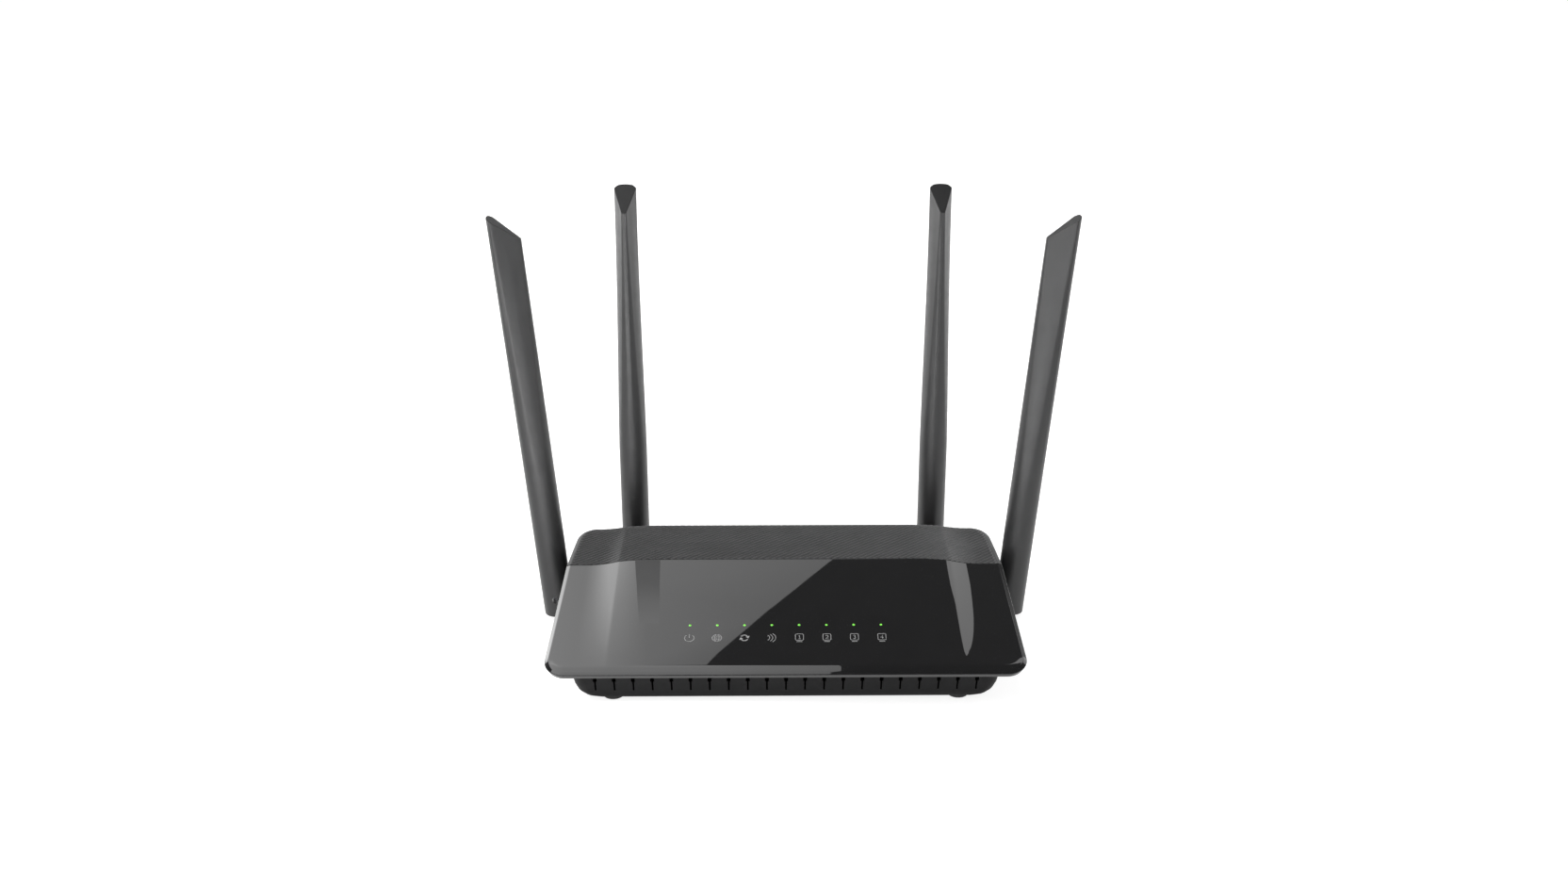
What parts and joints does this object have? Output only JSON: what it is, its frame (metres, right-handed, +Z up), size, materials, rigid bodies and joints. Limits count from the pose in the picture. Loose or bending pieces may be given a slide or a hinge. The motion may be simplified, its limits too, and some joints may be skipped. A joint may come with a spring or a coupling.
{
  "type": "wireless router",
  "caption": "Low wedge-shaped desktop wireless router: gloss front cover, ribbed rear panel, vented base tray, rear jacks and hinged, swivelling stick antennas.",
  "frame": {"origin": "under the middle of the bounding box, on the surface that the feet stand on", "axes": "+X to the right seen from the front, +Y from the front edge to the rear connectors, +Z up"},
  "size_m": [0.2784, 0.1574, 0.2109],
  "materials": {
    "gloss_cover": "piano-black gloss, mirror-like",
    "textured_panel": "satin black with fine diagonal ribs",
    "tray_plastic": "fine matte moulded grain",
    "antenna_plastic": "soft satin moulded plastic",
    "button_plastic": "satin",
    "foot_rubber": "matte rubber",
    "clear_guide": "clear moulded light guide, lit green",
    "circuit_board": "green solder mask",
    "chip_package": "matte epoxy",
    "tinned_steel": "tin-plated sheet",
    "screw_steel": "zinc plated",
    "heatsink_aluminium": "extruded, as drawn",
    "black_jack": "satin",
    "blue_jack": "satin blue",
    "label": "blank matt label",
    "copper_element": "bare copper strip",
    "coax_jacket": "thin grey jacket",
    "capacitor_sleeve": "printed-free dark sleeve"
  },
  "bodies": {
    "case": {"base_tray": "tray_plastic", "top_cover": "gloss_cover", "rear_panel": "textured_panel", "main_board": "circuit_board", "light_guide": "clear_guide", "main_chip": "chip_package", "memory_chip": "chip_package", "flash_chip": "chip_package", "wan_transformer": "chip_package", "lan_transformer": "chip_package", "power_inductor": "chip_package", "radio_shield_left": "tinned_steel", "radio_shield_right": "tinned_steel", "capacitor_1": "capacitor_sleeve", "capacitor_2": "capacitor_sleeve", "heatsink": "heatsink_aluminium", "power_switch": "chip_package", "wps_switch": "chip_package", "reset_switch": "chip_package", "wan_jack": "blue_jack", "lan_jack_1": "black_jack", "lan_jack_2": "black_jack", "lan_jack_3": "black_jack", "lan_jack_4": "black_jack", "power_jack": "black_jack", "case_screw_1": "screw_steel", "case_screw_2": "screw_steel", "case_screw_3": "screw_steel", "case_screw_4": "screw_steel", "foot_1": "foot_rubber", "foot_2": "foot_rubber", "foot_3": "foot_rubber", "foot_4": "foot_rubber", "bottom_label": "label", "left_side_lead": "coax_jacket", "right_side_lead": "coax_jacket", "left_rear_lead": "coax_jacket", "right_rear_lead": "coax_jacket"},
    "left_side_swivel": {"left_side_knuckle": "antenna_plastic"},
    "left_side_arm": {"left_side_antenna": "antenna_plastic", "left_side_hinge_pin": "screw_steel", "left_side_element": "copper_element"},
    "right_side_swivel": {"right_side_knuckle": "antenna_plastic"},
    "right_side_arm": {"right_side_antenna": "antenna_plastic", "right_side_hinge_pin": "screw_steel", "right_side_element": "copper_element"},
    "left_rear_swivel": {"left_rear_knuckle": "antenna_plastic"},
    "left_rear_arm": {"left_rear_antenna": "antenna_plastic", "left_rear_hinge_pin": "screw_steel", "left_rear_element": "copper_element"},
    "right_rear_swivel": {"right_rear_knuckle": "antenna_plastic"},
    "right_rear_arm": {"right_rear_antenna": "antenna_plastic", "right_rear_hinge_pin": "screw_steel", "right_rear_element": "copper_element"},
    "power_button": {"power_button": "button_plastic"},
    "wps_button": {"wps_button": "button_plastic"},
    "reset_button": {"reset_button": "button_plastic"}
  },
  "joints": [
    {"name": "left_side_swivel", "type": "hinge", "parent": "case", "child": "left_side_swivel", "pos_m": [-0.11535, 0.01827, 0.0126], "axis": [-1, 0, 0], "range_deg": [-90, 90]},
    {"name": "left_side_tilt", "type": "hinge", "parent": "left_side_swivel", "child": "left_side_arm", "pos_m": [-0.11535, 0.01827, 0.0126], "axis": [0, -1, 0], "range_deg": [0, 85.2]},
    {"name": "right_side_swivel", "type": "hinge", "parent": "case", "child": "right_side_swivel", "pos_m": [0.11535, 0.01827, 0.0126], "axis": [-1, 0, 0], "range_deg": [-90, 90]},
    {"name": "right_side_tilt", "type": "hinge", "parent": "right_side_swivel", "child": "right_side_arm", "pos_m": [0.11535, 0.01827, 0.0126], "axis": [0, 1, 0], "range_deg": [0, 85.2]},
    {"name": "left_rear_swivel", "type": "hinge", "parent": "case", "child": "left_rear_swivel", "pos_m": [-0.0792, 0.07128, 0.015], "axis": [0, 1, 0], "range_deg": [-90, 45]},
    {"name": "left_rear_tilt", "type": "hinge", "parent": "left_rear_swivel", "child": "left_rear_arm", "pos_m": [-0.0792, 0.07128, 0.015], "axis": [-1, 0, 0], "range_deg": [0, 90]},
    {"name": "right_rear_swivel", "type": "hinge", "parent": "case", "child": "right_rear_swivel", "pos_m": [0.0792, 0.07128, 0.015], "axis": [0, -1, 0], "range_deg": [-90, 45]},
    {"name": "right_rear_tilt", "type": "hinge", "parent": "right_rear_swivel", "child": "right_rear_arm", "pos_m": [0.0792, 0.07128, 0.015], "axis": [-1, 0, 0], "range_deg": [0, 90]},
    {"name": "power_press", "type": "slide", "parent": "case", "child": "power_button", "axis": [0, -1, 0], "range_m": [0, 0.0018], "stiffness_N_per_m": 300},
    {"name": "wps_press", "type": "slide", "parent": "case", "child": "wps_button", "axis": [0, -1, 0], "range_m": [0, 0.0008], "stiffness_N_per_m": 400},
    {"name": "reset_press", "type": "slide", "parent": "case", "child": "reset_button", "axis": [0, -1, 0], "range_m": [0, 0.0005], "stiffness_N_per_m": 300}
  ]
}
